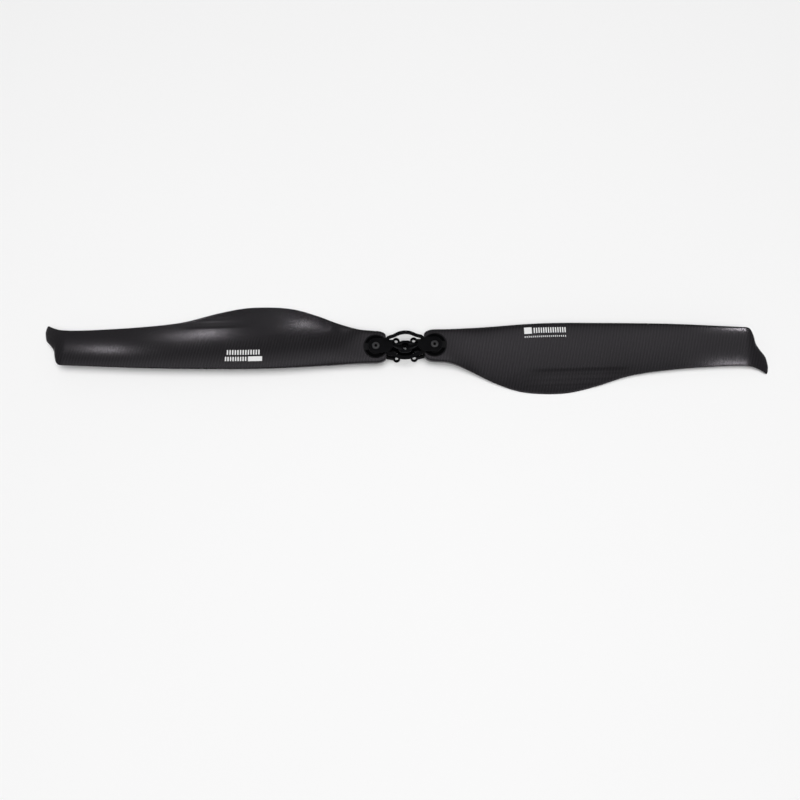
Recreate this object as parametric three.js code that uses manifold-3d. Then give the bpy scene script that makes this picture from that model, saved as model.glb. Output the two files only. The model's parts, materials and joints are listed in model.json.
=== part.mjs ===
// Folding two-blade carbon propeller for a multirotor, 24.2 inch diameter, turning counter-clockwise seen
// from above. A machined aluminium hub carries two blades, each on its own vertical pivot bolt.
// Millimetres. Origin: centre of the hub's bottom face, where it sits on the motor. +Z is the thrust
// direction, +X runs along the right blade, whose leading edge faces +Y. The left blade is the right
// one turned half a turn about Z.
import * as THREE from "three";
import { mergeVertices } from "three/addons/utils/BufferGeometryUtils.js";
import { ConvexGeometry } from "three/addons/geometries/ConvexGeometry.js";
import Module from "manifold-3d";

const wasm = await Module();
wasm.setup();

// ---- driving dimensions ----------------------------------------------------------------------------
const DIAMETER = 614.7; // tip to tip, 24.2 inch
const PIVOT_X = 24.65; // pivot axis from the hub axis
const SPAN = DIAMETER / 2 - PIVOT_X; // pivot axis to blade tip
const BLADE_Z = 11.5; // mid-plane of the blade roots above the motor face

const ROOT_RADIUS = 14.2; // the root swings inside this radius
const ROOT_BACK = 8.6; // flat end of the root, inboard of the pivot
const ROOT_CORNER = 1.8;
const ROOT_THICK = 6.4;
const ROOT_FLAT_END = 11; // the root is a flat slab up to here
const AIRFOIL_START = 42; // and a full airfoil from here on

const CAP_RADIUS = 10;
const CAP_THICK = 0.7;
const CAP_STEP_RADIUS = 6.6; // foot of the step up to the cap's middle
const CAP_STEP = 0.2;
const CAP_RIM_WIDTH = 0.9;
const CAP_RIM_HEIGHT = 0.3; // above the cap's seat
const CAP_SEAT = 2.6; // floor of the cap's recess above the mid-plane
const BUSH_RADIUS = 3.4;
const BOLT_RADIUS = 2;
const RUNNING_GAP = 0.1; // between the stacked flat faces
const FIT_GAP = 0.25; // between round parts that slip into each other

const HEAD_RADIUS = 3.2;
const HEAD_HEIGHT = 0.9;
const HEAD_RECESS = 0.8;
const BOLT_CHAMFER = 0.4;
const SOCKET_ACROSS_FLATS = 2.5;
const SOCKET_DEPTH = 1.7;
const WASHER_RADIUS = 5.6;
const SPRING_RADIUS = 3.5;
const SPRING_THICK = 0.6;
const NUT_ACROSS_FLATS = 7;
const NUT_HEIGHT = 3.1;
const COLLAR_RADIUS = 3.3; // round collar at the nut's lower end
const COLLAR_HEIGHT = 0.8;
const BOLT_END_Z = 1.4;

const EAR_THICK = 1.7;
const EAR_INNER = 4; // inner faces of the ears, above and below the mid-plane
const SLOT_RADIUS = 14.7; // the slot for the blade root, milled around each pivot
const BOSS_TOP = 12;
const LUG_HEIGHT = 3.2;
const RING_DROP = 0.3; // the ring's top lies this much below the ears
const WEB_TOP = 13.8; // at its inner end
const WEDGE_TOP = 5; // at its inner end
const SCREW_HOLE_RADIUS = 1.6;
const BORE_RADIUS = 2.5; // centre bore for the motor's boss
const BORE_DEPTH = 4;
const THROUGH_RADIUS = 1.5;
const RECESS_RADIUS = 3.1;
const RECESS_FLOOR = 8.2;

// The hub is milled from one billet. Seen from above it is made of round pads, [x, y, radius], joined in
// pairs. These are the pads of its right front quarter.
const EAR = [PIVOT_X, 0, 6.4];
const ARM = [17, 0, 6.2]; // the upper arm is this wide from the ear to here
const FAN = [14, 0, 2.6];
const NECK = [10.8, 0, 1.6]; // narrowest place of the upper arm, on top of the web
const WEB = [7.6, 0, 2.1];
const WEB_ROOT = [3, 0, 3.2]; // inside the boss
const LOWER_ARM = [15.5, 0, 5.2];
const WEDGE = [10.5, 0, 4.4]; // inner end of the lower arm, on the motor face
const BOSS = [1.5, 0, 5.5];
const LUG = [7.5, 7.6, 3]; // one of the four motor screw lugs
const RIB_OUT = [7.5, 7.6, 2.2]; // rib from the lug to the boss
const RIB_IN = [2.6, 2.6, 2.2];
const EDGE_RIB_OUT = [7.5, 7.6, 1.2]; // bowed rib along the motor's edge
const EDGE_RIB_IN = [2.4, 4.6, 1.2];
const STRUT_IN = [9, 7.4, 1.4]; // strut from the lug out to the lower arm
const STRUT_BEND = [15.2, 7, 1.4];
const STRUT_OUT = [19, 4.8, 1.4];
const STRUT_BEND_Z = [3.4, 6]; // bottom and top of the strut at its bend
const RING = [ // ring frame at the top of the hub, from the arm to the middle
  [16.2, 4.8, 1.3],
  [13.4, 7, 1.4],
  [9.6, 8.2, 1.4],
  [5.2, 10.2, 1.5],
  [2.4, 10.9, 1.5],
  [0, 11.1, 1.5],
];
const EDGE_CHAMFER = 0.4;
const THIN_CHAMFER = 0.3; // on the ring, the ribs and the lugs
const WEB_CHAMFER = 0.8;
const BOSS_CHAMFER = 1;

const ROUND = 28; // sides of a large circle
const SMALL_ROUND = 14;

// The blade's outline from the pivot outwards: distance, leading edge y, trailing edge y.
const PLANFORM = [
  [0, 14.2, -14.2],
  [14, 14.1, -16.2],
  [30, 14.6, -22.6],
  [50, 15.3, -32.1],
  [70, 16.1, -39.3],
  [90, 16.5, -42],
  [112, 16.3, -41.8],
  [135, 15.6, -37.3],
  [165, 14.5, -29.3],
  [200, 12.8, -25.5],
  [240, 10, -23.9],
  [259, 8.6, -24],
  [266, 7.8, -24.6],
  [268.5, 5.6, -25],
  [270.5, 1, -25.5],
  [272, -5, -26],
  [275, -9.7, -27.2],
  [278.2, -13.2, -28.8],
  [280.8, -16.2, -30.2],
  [282, -19.5, -29.6],
  [282.7, -22.5, -27.5],
];

// The blade's setting: distance, height of the chord on the pivot line, slope of the chord, thickness.
const SETTING = [
  [0, 0, 0, ROOT_THICK],
  [ROOT_FLAT_END, 0, 0, ROOT_THICK],
  [40, -2.3, 0.154, 6.6],
  [90, -1.8, 0.224, 5.8],
  [150, -1.3, 0.207, 4.2],
  [210, -0.3, 0.197, 2.9],
  [262, -0.3, 0.195, 1.9],
  [SPAN, -0.3, 0.195, 1],
];
const TIP_DROOP_START = 262;
const TIP_DROOP = 4.6;
const CAMBER = 0.03; // of the chord
const EDGE_THICK = 0.25; // the leading and trailing edges are never thinner

// ---- general helpers -------------------------------------------------------------------------------
const clamp01 = (t) => Math.min(1, Math.max(0, t));
const smoothstep = (t) => clamp01(t) ** 2 * (3 - 2 * clamp01(t));

// Smooth curve through rows [s, value, ...]: cubic pieces with averaged slopes.
function along(rows, column, s) {
  const beyond = rows.findIndex((row) => row[0] >= s);
  const i = beyond < 0 ? rows.length - 1 : Math.max(1, beyond);
  const slope = (k) => {
    const a = rows[Math.max(k - 1, 0)];
    const b = rows[Math.min(k + 1, rows.length - 1)];
    return (b[column] - a[column]) / (b[0] - a[0]);
  };
  const [p, q] = [rows[i - 1], rows[i]];
  const h = q[0] - p[0];
  const t = clamp01((s - p[0]) / h);
  const ease = t * t * (3 - 2 * t);
  const bend = h * t * (1 - t);
  return p[column] * (1 - ease) + q[column] * ease + bend * (slope(i - 1) * (1 - t) - slope(i) * t);
}

function manifoldOf(geometry) {
  const bare = geometry.clone();
  bare.deleteAttribute("normal");
  bare.deleteAttribute("uv");
  const merged = mergeVertices(bare, 1e-5);
  return new wasm.Manifold(new wasm.Mesh({
    numProp: 3,
    vertProperties: new Float32Array(merged.attributes.position.array),
    triVerts: new Uint32Array(merged.index.array),
  }));
}

function geometryOf(manifold) {
  const mesh = manifold.getMesh();
  const geometry = new THREE.BufferGeometry();
  geometry.setAttribute("position", new THREE.BufferAttribute(new Float32Array(mesh.vertProperties), 3));
  geometry.setIndex(new THREE.BufferAttribute(new Uint32Array(mesh.triVerts), 1));
  return geometry;
}

// Closed skin over rings of equal, even length. Point k of a ring faces point length-1-k across it, so
// both ends close with a flat strip.
function skin(rings) {
  const n = rings[0].length;
  const positions = rings.flat(2);
  const index = [];
  for (let r = 0; r < rings.length - 1; r++) {
    for (let k = 0; k < n; k++) {
      const a = r * n + k;
      const b = r * n + ((k + 1) % n);
      index.push(a, b, a + n, b, b + n, a + n);
    }
  }
  const last = (rings.length - 1) * n;
  for (let k = 0; k < n / 2 - 1; k++) {
    const [a, b, c, d] = [k, k + 1, n - 2 - k, n - 1 - k];
    index.push(a, c, b, a, d, c);
    index.push(last + a, last + b, last + c, last + a, last + c, last + d);
  }
  const geometry = new THREE.BufferGeometry();
  geometry.setAttribute("position", new THREE.Float32BufferAttribute(positions, 3));
  geometry.setIndex(index);
  return geometry;
}

// Upright cylinder from z0 to z1.
function post(x, y, radius, z0, z1, sides = ROUND) {
  const geometry = new THREE.CylinderGeometry(radius, radius, z1 - z0, sides);
  geometry.rotateX(Math.PI / 2);
  geometry.translate(x, y, (z0 + z1) / 2);
  return manifoldOf(geometry);
}

// Ring or disc turned about the pivot: profile points are [radius, z].
function turned(profile, sides = ROUND) {
  const points = [...profile, profile[0]].map(([r, z]) => new THREE.Vector2(r, z));
  const geometry = new THREE.LatheGeometry(points, sides);
  geometry.rotateX(Math.PI / 2);
  return geometry;
}

const cornerRadius = (acrossFlats) => acrossFlats / 2 / Math.cos(Math.PI / 6);

const ringOf = (inner, outer, z0, z1) => turned([[inner, z0], [outer, z0], [outer, z1], [inner, z1]]);

// ---- hub -------------------------------------------------------------------------------------------
// Joins two pads, each [x, y, radius, bottom z, top z], and chamfers the top edge.
function link(a, b, chamfer = EDGE_CHAMFER) {
  const points = [];
  for (const [x, y, radius, z0, z1] of [a, b]) {
    const sides = radius > 2.5 ? ROUND : SMALL_ROUND;
    for (let k = 0; k < sides; k++) {
      const angle = (2 * Math.PI * k) / sides;
      const [c, s] = [Math.cos(angle), Math.sin(angle)];
      points.push(new THREE.Vector3(x + radius * c, y + radius * s, z0));
      points.push(new THREE.Vector3(x + radius * c, y + radius * s, z1 - chamfer));
      points.push(new THREE.Vector3(x + (radius - chamfer) * c, y + (radius - chamfer) * s, z1));
    }
  }
  return manifoldOf(new ConvexGeometry(points));
}

const UPPER_EAR_TOP = BLADE_Z + EAR_INNER + EAR_THICK;
const LOWER_EAR_BOTTOM = BLADE_Z - EAR_INNER - EAR_THICK;
const QUARTERS = [[1, 1], [-1, 1], [-1, -1], [1, -1]];

function hubBody() {
  const upper = [BLADE_Z + EAR_INNER, UPPER_EAR_TOP];
  const lower = [LOWER_EAR_BOTTOM, BLADE_Z - EAR_INNER];
  const ringLevel = [upper[0], UPPER_EAR_TOP - RING_DROP];
  const base = [0, LUG_HEIGHT];
  const mirroredPad = (mx, my) => ([x, y, radius], level) => [mx * x, my * y, radius, ...level];

  const halves = [1, -1].flatMap((side) => {
    const pad = mirroredPad(side, 1);
    const web = pad(WEB, [0, WEB_TOP]);
    return [
      // upper arm: ear, then a fan down to the narrow neck
      link(pad(EAR, upper), pad(ARM, upper)),
      link(pad(ARM, upper), pad(FAN, upper)),
      link(pad(FAN, upper), pad(NECK, upper)),
      // web from the neck down to the boss
      link(pad(NECK, [BLADE_Z, UPPER_EAR_TOP]), web, WEB_CHAMFER),
      link(web, pad(WEB_ROOT, [0, BOSS_TOP]), WEB_CHAMFER),
      // lower arm: ear, then a wedge down to the motor face
      link(pad(EAR, lower), pad(LOWER_ARM, lower)),
      link(pad(LOWER_ARM, lower), pad(WEDGE, [0, WEDGE_TOP])),
    ];
  });

  const quarters = QUARTERS.flatMap((quarter) => {
    const pad = mirroredPad(...quarter);
    const ring = RING.map((place) => pad(place, ringLevel));
    return [
      ...ring.slice(1).map((next, k) => link(ring[k], next, THIN_CHAMFER)),
      link(pad(LUG, base), pad(LUG, base), THIN_CHAMFER),
      link(pad(RIB_IN, base), pad(RIB_OUT, base), THIN_CHAMFER),
      link(pad(EDGE_RIB_OUT, base), pad(EDGE_RIB_IN, base), THIN_CHAMFER),
      link(pad(STRUT_IN, base), pad(STRUT_BEND, STRUT_BEND_Z), THIN_CHAMFER),
      link(pad(STRUT_BEND, STRUT_BEND_Z), pad(STRUT_OUT, lower), THIN_CHAMFER),
    ];
  });

  const [bossRight, bossLeft] = [1, -1].map((side) => mirroredPad(side, 1)(BOSS, [0, BOSS_TOP]));
  const boss = link(bossRight, bossLeft, BOSS_CHAMFER);

  const above = UPPER_EAR_TOP + 1; // cutting tools run past the faces they open
  const below = -1;
  const cuts = [1, -1].flatMap((side) => [
    post(side * PIVOT_X, 0, SLOT_RADIUS, BLADE_Z - EAR_INNER, BLADE_Z + EAR_INNER, 2 * ROUND),
    post(side * PIVOT_X, 0, BOLT_RADIUS + FIT_GAP, below, above, SMALL_ROUND),
    post(side * PIVOT_X, 0, HEAD_RADIUS + FIT_GAP, UPPER_EAR_TOP - HEAD_RECESS, above),
  ]);
  for (const [mx, my] of QUARTERS) {
    cuts.push(post(mx * LUG[0], my * LUG[1], SCREW_HOLE_RADIUS, below, LUG_HEIGHT + 1, SMALL_ROUND));
  }
  cuts.push(post(0, 0, BORE_RADIUS, below, BORE_DEPTH, SMALL_ROUND));
  cuts.push(post(0, 0, THROUGH_RADIUS, BORE_DEPTH - 1, BOSS_TOP, SMALL_ROUND));
  cuts.push(post(0, 0, RECESS_RADIUS, RECESS_FLOOR, BOSS_TOP + 1, SMALL_ROUND));

  const body = [...halves, ...quarters, boss].reduce((sum, piece) => sum.add(piece));
  return geometryOf(cuts.reduce((rest, cut) => rest.subtract(cut), body));
}

// ---- blade -----------------------------------------------------------------------------------------
const SECTION_HALF = 11; // points along each side of a section

// Half thickness at fraction c of the chord: a rounded slab at the root, an airfoil further out.
function halfThickness(c, thickness, airfoil) {
  const slab = (1 - Math.abs(2 * c - 1) ** 7) ** (1 / 3.5);
  const tail = 0.3516 * c ** 2 - 0.2843 * c ** 3 + 0.1015 * c ** 4;
  const foil = 10 * (0.2969 * Math.sqrt(c) - 0.126 * c - tail);
  const edge = EDGE_THICK / thickness;
  return (thickness / 2) * Math.max(edge, slab * (1 - airfoil) + foil * airfoil);
}

function bladeSection(s) {
  const intoCorner = Math.max(0, ROOT_CORNER - ROOT_BACK - s);
  const cornerLoss = ROOT_CORNER - Math.sqrt(ROOT_CORNER ** 2 - Math.min(ROOT_CORNER, intoCorner) ** 2);
  const behindPivot = Math.sqrt(Math.max(0, ROOT_RADIUS ** 2 - s ** 2)) - cornerLoss;
  const lead = s < 0 ? behindPivot : along(PLANFORM, 1, s);
  const trail = s < 0 ? -behindPivot : along(PLANFORM, 2, s);
  const inside = Math.max(0, s);
  const height = along(SETTING, 1, inside);
  const slope = along(SETTING, 2, inside);
  const thickness = along(SETTING, 3, inside);
  const airfoil = smoothstep((s - ROOT_FLAT_END) / (AIRFOIL_START - ROOT_FLAT_END));
  const droop = TIP_DROOP * Math.max(0, (s - TIP_DROOP_START) / (SPAN - TIP_DROOP_START)) ** 2;
  const point = (c, side) => {
    const y = lead + (trail - lead) * c;
    const chordZ = height + slope * y - droop + 4 * c * (1 - c) * CAMBER * (lead - trail) * airfoil;
    return [s, y, BLADE_Z + chordZ + side * halfThickness(c, thickness, airfoil)];
  };
  const fractions = Array.from(
    { length: SECTION_HALF },
    (_, k) => (1 - Math.cos((Math.PI * k) / (SECTION_HALF - 1))) / 2,
  );
  return [...fractions.map((c) => point(c, 1)), ...fractions.reverse().map((c) => point(c, -1))];
}

function blade() {
  const stations = [
    -ROOT_BACK, -8.3, -7.7, -6.5, -4.5, -2, 2, 6, ROOT_FLAT_END, 16, 22, 29, 36, 43, 51, 60, 70, 80,
    90, 101, 112, 124, 136, 150, 165, 182, 200, 220, 240, 252, 261, 265.5, 268, 269.6, 271, 273, 276,
    279, 281, 282.2, SPAN,
  ];
  const cuts = [
    post(0, 0, BUSH_RADIUS + FIT_GAP, 0, 20),
    post(0, 0, CAP_RADIUS + FIT_GAP, BLADE_Z + CAP_SEAT, 20),
    post(0, 0, CAP_RADIUS + FIT_GAP, 0, BLADE_Z - CAP_SEAT),
  ];
  const body = manifoldOf(skin(stations.map(bladeSection)));
  return geometryOf(cuts.reduce((rest, cut) => rest.subtract(cut), body));
}

// ---- hardware at a pivot, turned about the pivot axis ----------------------------------------------
const CAP_FLOOR = CAP_SEAT + RUNNING_GAP;
const CAP_TOP = CAP_FLOOR + CAP_THICK;

// Dished cap: a raised rim around a flat seat. side is 1 on top of the root and -1 under it.
function rootCap(side) {
  const inner = BUSH_RADIUS + FIT_GAP;
  const seatTop = CAP_TOP - CAP_STEP;
  const rimTop = seatTop + CAP_RIM_HEIGHT;
  const rimInner = CAP_RADIUS - CAP_RIM_WIDTH;
  const outline = [
    [inner, CAP_FLOOR], [CAP_RADIUS, CAP_FLOOR], [CAP_RADIUS, rimTop], [rimInner, rimTop],
    [rimInner - 2 * CAP_RIM_HEIGHT, seatTop], [CAP_STEP_RADIUS, seatTop],
    [CAP_STEP_RADIUS - 2 * CAP_STEP, CAP_TOP], [inner, CAP_TOP],
  ].map(([r, z]) => [r, BLADE_Z + side * z]);
  return turned(side > 0 ? outline : outline.reverse());
}

function thrustWasher(side) {
  const faces = [CAP_TOP + RUNNING_GAP, EAR_INNER - RUNNING_GAP].map((z) => BLADE_Z + side * z);
  return ringOf(BOLT_RADIUS + FIT_GAP, WASHER_RADIUS, Math.min(...faces), Math.max(...faces));
}

const bladeBush = () => ringOf(BOLT_RADIUS + FIT_GAP, BUSH_RADIUS, BLADE_Z - CAP_TOP, BLADE_Z + CAP_TOP);

function springWasher() {
  const top = LOWER_EAR_BOTTOM - RUNNING_GAP;
  return ringOf(BOLT_RADIUS + FIT_GAP, SPRING_RADIUS, top - SPRING_THICK, top);
}

// Low-head socket bolt with a chamfered head and thread end.
function pivotBolt() {
  const seat = UPPER_EAR_TOP - HEAD_RECESS + RUNNING_GAP;
  const top = seat + HEAD_HEIGHT;
  const shape = manifoldOf(turned([
    [0, BOLT_END_Z], [BOLT_RADIUS - BOLT_CHAMFER, BOLT_END_Z], [BOLT_RADIUS, BOLT_END_Z + BOLT_CHAMFER],
    [BOLT_RADIUS, seat], [HEAD_RADIUS, seat], [HEAD_RADIUS, top - BOLT_CHAMFER],
    [HEAD_RADIUS - BOLT_CHAMFER, top], [0, top],
  ]));
  const socket = post(0, 0, cornerRadius(SOCKET_ACROSS_FLATS), top - SOCKET_DEPTH, top + 1, 6);
  return geometryOf(shape.subtract(socket));
}

// Hexagon lock nut with a round collar at its lower end.
function pivotNut() {
  const top = LOWER_EAR_BOTTOM - SPRING_THICK - 2 * RUNNING_GAP;
  const bottom = top - NUT_HEIGHT;
  const hexagon = post(0, 0, cornerRadius(NUT_ACROSS_FLATS), bottom + COLLAR_HEIGHT, top, 6);
  const collar = post(0, 0, COLLAR_RADIUS, bottom, bottom + NUT_HEIGHT / 2);
  const thread = post(0, 0, BOLT_RADIUS + FIT_GAP, bottom - 1, top + 1);
  return geometryOf(hexagon.add(collar).subtract(thread));
}

// ---- assembly --------------------------------------------------------------------------------------
const metal = (color, roughness) => new THREE.MeshStandardMaterial({ color, roughness, metalness: 1 });
const plain = (color, roughness) => new THREE.MeshStandardMaterial({ color, roughness, metalness: 0 });
const anodised = metal("#17171a", 0.45);
const steel = metal("#8f9296", 0.35);
const brass = metal("#b08d4a", 0.4);
const carbon = plain("#232326", 0.38);
const nylon = plain("#1c1c1e", 0.6);
const whitePlastic = plain("#d8d6cf", 0.55);

const propeller = new THREE.Group();

function add(parent, name, geometry, material) {
  const mesh = new THREE.Mesh(geometry, material);
  mesh.name = name;
  parent.add(mesh);
}

add(propeller, "hub_body", hubBody(), anodised);

for (const [side, turn] of [["right", 0], ["left", Math.PI]]) {
  const half = new THREE.Group();
  half.rotation.z = turn;
  const pivot = new THREE.Group();
  pivot.position.x = PIVOT_X;
  half.add(pivot);
  propeller.add(half);

  add(pivot, `blade_${side}`, blade(), carbon);
  add(pivot, `blade_bush_${side}`, bladeBush(), brass);
  add(pivot, `root_cap_upper_${side}`, rootCap(1), nylon);
  add(pivot, `root_cap_lower_${side}`, rootCap(-1), nylon);
  add(pivot, `thrust_washer_upper_${side}`, thrustWasher(1), whitePlastic);
  add(pivot, `thrust_washer_lower_${side}`, thrustWasher(-1), whitePlastic);
  add(pivot, `pivot_bolt_${side}`, pivotBolt(), steel);
  add(pivot, `spring_washer_${side}`, springWasher(), steel);
  add(pivot, `pivot_nut_${side}`, pivotNut(), steel);
}

export default propeller;
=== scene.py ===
"""Looks of a folding two-blade carbon propeller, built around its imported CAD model.

Lengths in the shape tables are millimetres, scaled to metres when a mesh is made. Blade shapes are
drawn in their own frame: s from the pivot towards the tip, y towards the leading edge, z up from the
middle of the root. The left blade is the right one turned half a turn about the spin axis.
"""
import json
import math

import bmesh
import bpy
import numpy as np
from mathutils import Matrix, Vector


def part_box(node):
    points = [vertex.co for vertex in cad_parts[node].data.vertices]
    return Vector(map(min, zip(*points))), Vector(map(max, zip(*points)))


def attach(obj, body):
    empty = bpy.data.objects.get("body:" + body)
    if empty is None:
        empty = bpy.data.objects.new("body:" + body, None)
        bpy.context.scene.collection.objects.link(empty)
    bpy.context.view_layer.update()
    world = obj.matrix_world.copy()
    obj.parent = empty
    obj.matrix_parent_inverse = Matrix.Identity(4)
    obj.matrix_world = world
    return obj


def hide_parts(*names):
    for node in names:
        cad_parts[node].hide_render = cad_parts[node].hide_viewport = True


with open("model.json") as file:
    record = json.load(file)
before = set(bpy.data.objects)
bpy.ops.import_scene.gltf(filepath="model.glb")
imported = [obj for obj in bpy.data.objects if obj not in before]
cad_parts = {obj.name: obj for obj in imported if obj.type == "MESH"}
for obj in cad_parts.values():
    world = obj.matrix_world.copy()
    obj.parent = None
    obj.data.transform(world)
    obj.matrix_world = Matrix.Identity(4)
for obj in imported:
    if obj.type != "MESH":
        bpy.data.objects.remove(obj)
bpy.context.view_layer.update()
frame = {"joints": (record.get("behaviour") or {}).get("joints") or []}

MM = 0.001

# ---- sizes taken from the frame --------------------------------------------------------------------
pivot = next(j for j in frame["joints"] if j["name"] == "right_fold")["pos_m"]
PIVOT_X = pivot[0] / MM
BLADE_Z = pivot[2] / MM
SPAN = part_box("blade_right")[1].x / MM - PIVOT_X
HUB_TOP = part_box("hub_body")[1].z / MM
BOLT_BOX = [corner.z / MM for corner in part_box("pivot_bolt_right")]
NUT_BOX = [corner.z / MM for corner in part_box("pivot_nut_right")]
SPRING_BOX = [corner.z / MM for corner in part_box("spring_washer_right")]
BUSH_BOX = [corner.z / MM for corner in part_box("blade_bush_right")]
SIDES = {"right": 0.0, "left": math.pi}

# ---- blade dimensions ------------------------------------------------------------------------------
ROOT_RADIUS = 14.2
ROOT_BACK = 8.6
ROOT_CORNER = 1.8
ROOT_THICK = 6.4
ROOT_FLAT_END = 11
AIRFOIL_START = 42
TIP_DROOP_START = 262
TIP_DROOP = 4.6
CAMBER = 0.03
EDGE_THICK = 0.25

# Outline from the pivot outwards: distance, leading edge y, trailing edge y.
PLANFORM = [
    (0, 14.2, -14.2), (14, 14.1, -16.2), (30, 14.6, -22.6), (50, 15.3, -32.1), (70, 16.1, -39.3),
    (90, 16.5, -42), (112, 16.3, -41.8), (135, 15.6, -37.3), (165, 14.5, -29.3), (200, 12.8, -25.5),
    (240, 10, -23.9), (259, 8.6, -24), (266, 7.8, -24.6), (268.5, 5.6, -25), (270.5, 1, -25.5),
    (272, -5, -26), (275, -9.7, -27.2), (278.2, -13.2, -28.8), (280.8, -16.2, -30.2),
    (282, -19.5, -29.6), (282.7, -22.5, -27.5),
]

# Setting: distance, height of the chord on the pivot line, slope of the chord, thickness.
SETTING = [
    (0, 0, 0, ROOT_THICK), (ROOT_FLAT_END, 0, 0, ROOT_THICK), (40, -2.3, 0.154, 6.6),
    (90, -1.8, 0.224, 5.8), (150, -1.3, 0.207, 4.2), (210, -0.3, 0.197, 2.9),
    (262, -0.3, 0.195, 1.9), (282.7, -0.3, 0.195, 1),
]

CAP_RADIUS = 10
CAP_SEAT = 2.6
CAP_THICK = 0.7
RUNNING_GAP = 0.1
FIT_GAP = 0.25
BUSH_RADIUS = 3.4
BOLT_RADIUS = 2


# ---- general helpers -------------------------------------------------------------------------------
def smoothstep(t):
    """Eases from 0 to 1 while t goes from 0 to 1."""
    t = np.clip(t, 0, 1)
    return t * t * (3 - 2 * t)


def along(rows, column, s):
    """Smooth curve through rows (s, value, ...): cubic pieces with averaged slopes."""
    i = next((k for k, row in enumerate(rows) if row[0] >= s), len(rows) - 1)
    i = max(1, i)

    def slope(k):
        a, b = rows[max(k - 1, 0)], rows[min(k + 1, len(rows) - 1)]
        return (b[column] - a[column]) / (b[0] - a[0])

    p, q = rows[i - 1], rows[i]
    h = q[0] - p[0]
    t = min(1, max(0, (s - p[0]) / h))
    ease = t * t * (3 - 2 * t)
    bend = h * t * (1 - t)
    return p[column] * (1 - ease) + q[column] * ease + bend * (slope(i - 1) * (1 - t) - slope(i) * t)


def mesh_object(name, vertices, faces):
    """A linked object from points in millimetres."""
    mesh = bpy.data.meshes.new(name)
    mesh.from_pydata([tuple(c * MM for c in v) for v in vertices], [], faces)
    return link_object(name, mesh)


def link_object(name, mesh):
    """An object of a mesh, put into the scene."""
    piece = bpy.data.objects.new(name, mesh)
    bpy.context.scene.collection.objects.link(piece)
    return piece


def rings_mesh(rings, closed=False):
    """Vertices and faces of a skin over rings of equal length, with an end face at each open end."""
    count = len(rings[0])
    vertices = [tuple(p) for ring in rings for p in ring]
    faces = []
    spans = len(rings) if closed else len(rings) - 1
    for r in range(spans):
        a, b = r * count, ((r + 1) % len(rings)) * count
        faces += [(a + k, a + (k + 1) % count, b + (k + 1) % count, b + k) for k in range(count)]
    if not closed:
        faces.append(tuple(reversed(range(count))))
        last = (len(rings) - 1) * count
        faces.append(tuple(last + k for k in range(count)))
    return vertices, faces


def post(x, y, radius, z0, z1, sides=72):
    """An upright prism or cylinder."""
    corners = [
        (x + radius * math.cos(a), y + radius * math.sin(a))
        for a in (2 * math.pi * k / sides for k in range(sides))
    ]
    return mesh_object("post", *rings_mesh([[(*corner, z) for corner in corners] for z in (z0, z1)]))


def turned(name, profile, sides=96):
    """A body of revolution about Z from a closed profile of (radius, z) with no point on the axis."""
    rings = [
        [(r * math.cos(a), r * math.sin(a), z) for r, z in profile]
        for a in (2 * math.pi * k / sides for k in range(sides))
    ]
    vertices, faces = rings_mesh(rings, closed=True)
    return mesh_object(name, vertices, faces)


def boolean(piece, operation, others):
    """piece joined with or cut by the others, which are used up."""
    group = bpy.data.collections.new("operands")
    for other in others:
        group.objects.link(other)
    step = piece.modifiers.new("boolean", "BOOLEAN")
    step.operation = operation
    step.operand_type = "COLLECTION"
    step.collection = group
    step.solver = "MANIFOLD"
    bake(piece)
    for other in others:
        bpy.data.objects.remove(other)
    bpy.data.collections.remove(group)
    return piece


def bake(piece):
    """Applies the modifiers of a piece to its mesh."""
    graph = bpy.context.evaluated_depsgraph_get()
    mesh = bpy.data.meshes.new_from_object(piece.evaluated_get(graph))
    piece.modifiers.clear()
    piece.data = mesh


def smooth(piece, degrees=32):
    """Outward faces with smooth shading, kept sharp at edges steeper than the angle."""
    bm = bmesh.new()
    bm.from_mesh(piece.data)
    bmesh.ops.remove_doubles(bm, verts=bm.verts, dist=1e-7)
    bmesh.ops.recalc_face_normals(bm, faces=bm.faces)
    limit = math.radians(degrees)
    for face in bm.faces:
        face.smooth = True
    for edge in bm.edges:
        edge.smooth = edge.is_manifold and edge.calc_face_angle(0) < limit
    bm.to_mesh(piece.data)
    bm.free()


def finish_piece(piece, body, nodes, material, at=None):
    """Gives a piece its material, moves its mesh into place and ties it to the frame."""
    if at is not None:
        piece.data.transform(at)
    smooth(piece)
    piece.data.materials.clear()
    piece.data.materials.append(material)
    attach(piece, body)
    if nodes:
        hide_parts(*nodes)
    return piece


def at_pivot(side, z=0.0):
    """From the frame of a pivot, with its X towards the blade tip, to the object's frame."""
    return Matrix.Rotation(SIDES[side], 4, "Z") @ Matrix.Translation((PIVOT_X * MM, 0, z * MM))


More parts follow.
